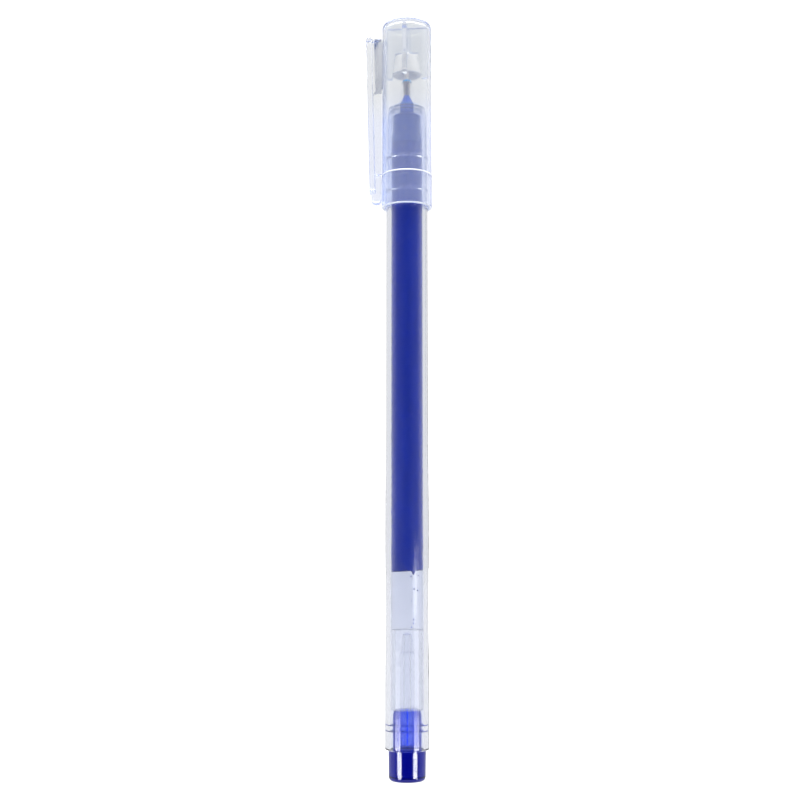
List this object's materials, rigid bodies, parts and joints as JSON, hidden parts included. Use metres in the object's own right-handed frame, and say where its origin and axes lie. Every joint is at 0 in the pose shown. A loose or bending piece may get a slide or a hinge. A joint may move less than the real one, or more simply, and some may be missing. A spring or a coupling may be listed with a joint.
{
  "type": "gel pen",
  "caption": "Capped gel pen with a needle point, clear barrel and ink tube, frosted cap with a pocket clip and a blue tail plug.",
  "frame": {"origin": "centre of the tail plug's flat end face, on the pen's axis", "axes": "+Z runs along the pen from the tail to the top of the cap; the pocket clip is on the -X side"},
  "size_m": [0.0131, 0.01, 0.1479],
  "materials": {
    "cap_frosted": "satin",
    "barrel_clear": "gloss",
    "clear_plastic": "gloss",
    "plug_blue": "gloss",
    "gel_ink": "gloss",
    "grease_clear": "gloss",
    "seal_white": "satin",
    "needle_steel": "satin",
    "ball_carbide": "polished"
  },
  "bodies": {
    "pen": {"barrel": "barrel_clear", "ink_tube": "clear_plastic", "ink_column": "gel_ink", "tip_holder": "clear_plastic", "tip_ink": "gel_ink", "needle_tube": "needle_steel", "rear_stem": "clear_plastic", "tail_plug": "plug_blue"},
    "cap": {"cap_shell": "cap_frosted", "tip_seal": "seal_white", "clip_root": "cap_frosted"},
    "clip": {"pocket_clip": "cap_frosted"},
    "follower": {"grease_follower": "grease_clear"},
    "ball": {"writing_ball": "ball_carbide"}
  },
  "joints": [
    {"name": "cap_pull", "type": "slide", "parent": "pen", "child": "cap", "axis": [0, 0, 1], "range_m": [0, 0.045]},
    {"name": "clip_flex", "type": "hinge", "parent": "cap", "child": "clip", "pos_m": [-0.0079, 0, 0.1339], "axis": [0, 1, 0], "range_deg": [0, 8], "stiffness_Nm_per_rad": 0.78},
    {"name": "ink_use", "type": "slide", "parent": "pen", "child": "follower", "axis": [0, 0, 1], "range_m": [0, 0.08], "deforming": ["ink_column"]},
    {"name": "ball_roll", "type": "hinge", "parent": "pen", "child": "ball", "pos_m": [0, 0, 0.13835], "axis": [1, 0, 0], "continuous": true}
  ]
}
